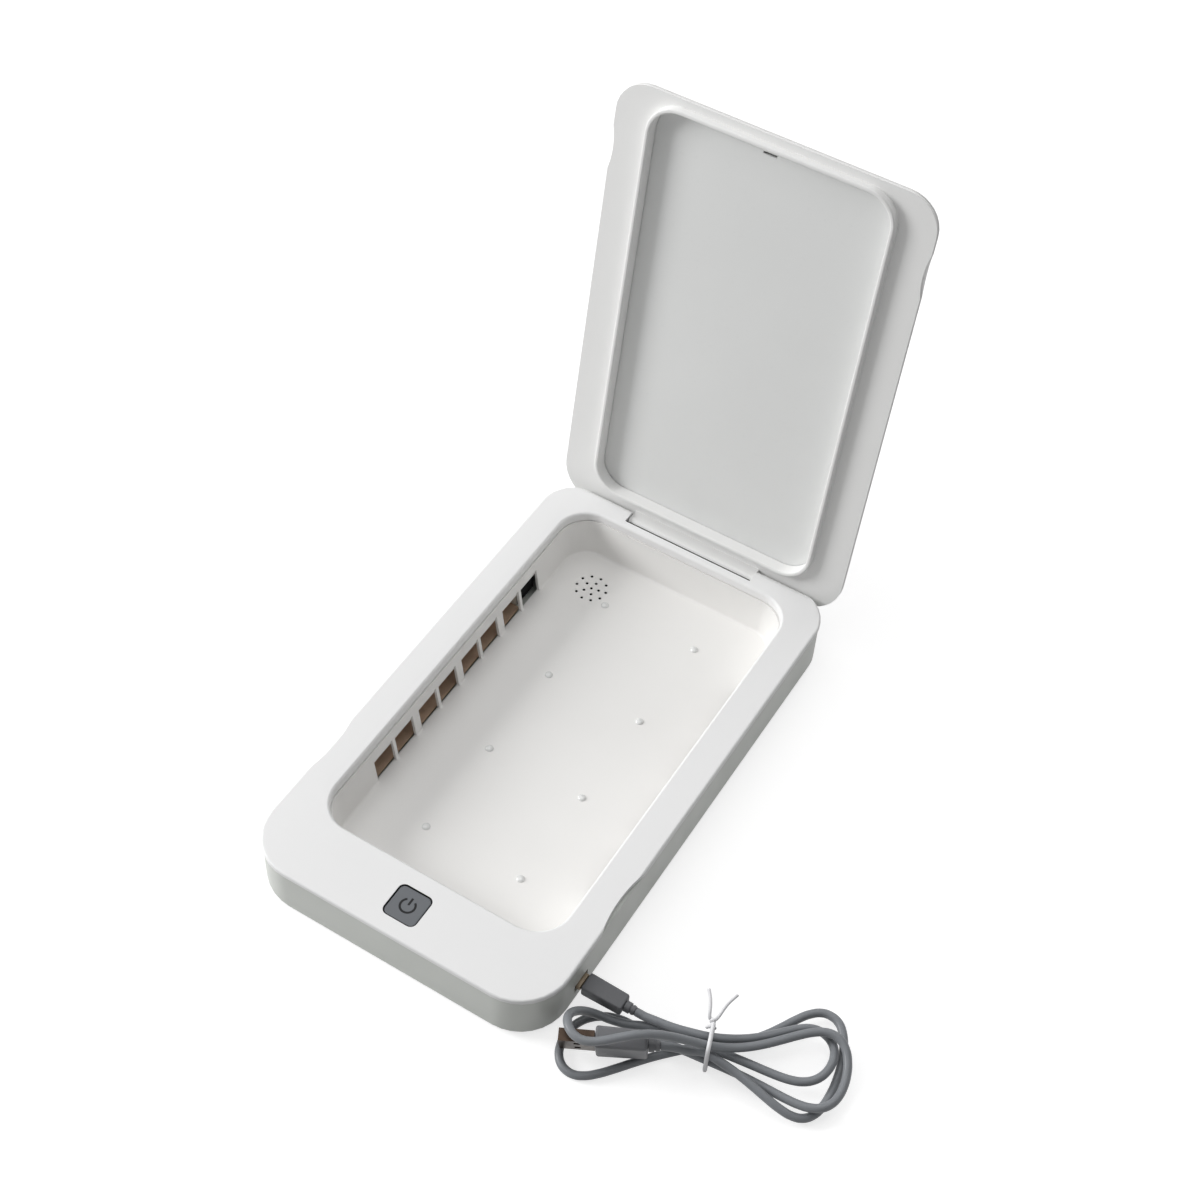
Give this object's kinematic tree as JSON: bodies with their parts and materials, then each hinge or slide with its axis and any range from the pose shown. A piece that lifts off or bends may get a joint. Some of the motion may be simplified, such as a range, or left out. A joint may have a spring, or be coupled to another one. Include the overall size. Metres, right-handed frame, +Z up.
{
  "type": "uv sterilizer",
  "caption": "Flat box with a hinged lid, a phone chamber with lamp windows behind its side walls, a push button and a plugged-in, tied USB cable.",
  "frame": {"origin": "on the table under the middle of the box with its lid open, the cable left out", "axes": "+Z up, +Y towards the hinge and the open lid, +X towards the side with the USB port; the button is in front at -Y"},
  "size_m": [0.228, 0.2616, 0.2097],
  "materials": {
    "white_shell": "satin white moulding",
    "grey_shell": "satin light grey moulding",
    "tub_white": "satin warm white moulding",
    "panel_white": "matt light grey moulding",
    "button_grey": "satin dark grey",
    "cable_grey": "soft matt grey jacket",
    "tie_white": "white plastic coated wire",
    "reflector_metal": "dull bent sheet",
    "lamp_glass": "clear quartz",
    "holder_white": "moulded holder",
    "pad_felt": "felt",
    "board_green": "laminate",
    "black_part": "black moulding",
    "coil_brown": "taped coil",
    "can_blue": "sleeved can",
    "plug_steel": "bright drawn shell",
    "steel": "plain steel",
    "foot_rubber": "black rubber"
  },
  "bodies": {
    "base": {"top_cover": "white_shell", "lower_housing": "grey_shell", "chamber_tub": "tub_white", "reflector_left": "reflector_metal", "reflector_right": "reflector_metal", "uv_tube_left": "lamp_glass", "uv_tube_right": "lamp_glass", "tube_holder_left_front": "holder_white", "tube_holder_left_rear": "holder_white", "tube_holder_right_front": "holder_white", "tube_holder_right_rear": "holder_white", "aroma_pad": "pad_felt", "circuit_board": "board_green", "tact_switch": "black_part", "driver_chip": "black_part", "lid_sensor": "black_part", "transformer": "coil_brown", "capacitor": "can_blue", "usb_receptacle": "plug_steel", "hinge_pin": "steel", "screw_front_left": "steel", "screw_front_right": "steel", "screw_rear_left": "steel", "screw_rear_right": "steel", "foot_front_left": "foot_rubber", "foot_front_right": "foot_rubber", "foot_rear_left": "foot_rubber", "foot_rear_right": "foot_rubber"},
    "lid": {"lid_cover": "white_shell", "lid_frame": "white_shell", "lid_panel": "panel_white", "lid_magnet": "steel"},
    "button": {"power_button": "button_grey"},
    "plunger": {"switch_plunger": "black_part"},
    "cable": {"micro_tip": "plug_steel", "micro_overmould": "cable_grey", "micro_relief": "cable_grey", "cable_lead": "cable_grey", "cable_hank": "cable_grey", "cable_tie": "tie_white", "usb_a_relief": "cable_grey", "usb_a_overmould": "cable_grey", "usb_a_shell": "plug_steel", "usb_a_tongue": "black_part"}
  },
  "joints": [
    {"name": "lid_hinge", "type": "hinge", "parent": "base", "child": "lid", "pos_m": [0, 0.08643, 0.0215], "axis": [1, 0, 0], "range_deg": [0, 99.1]},
    {"name": "power_button_press", "type": "slide", "parent": "base", "child": "button", "axis": [0, 0, -1], "range_m": [0, 0.0005], "stiffness_N_per_m": 600, "springref_m": -0.0004},
    {"name": "switch_plunger_press", "type": "slide", "parent": "base", "child": "plunger", "axis": [0, 0, -1], "range_m": [0, 0.0005]},
    {"name": "cable_unplug", "type": "slide", "parent": "base", "child": "cable", "axis": [1, 0, 0], "range_m": [0, 0.02]}
  ],
  "couplings": [
    {"joint": "switch_plunger_press", "follows": "power_button_press", "ratio": 1}
  ]
}
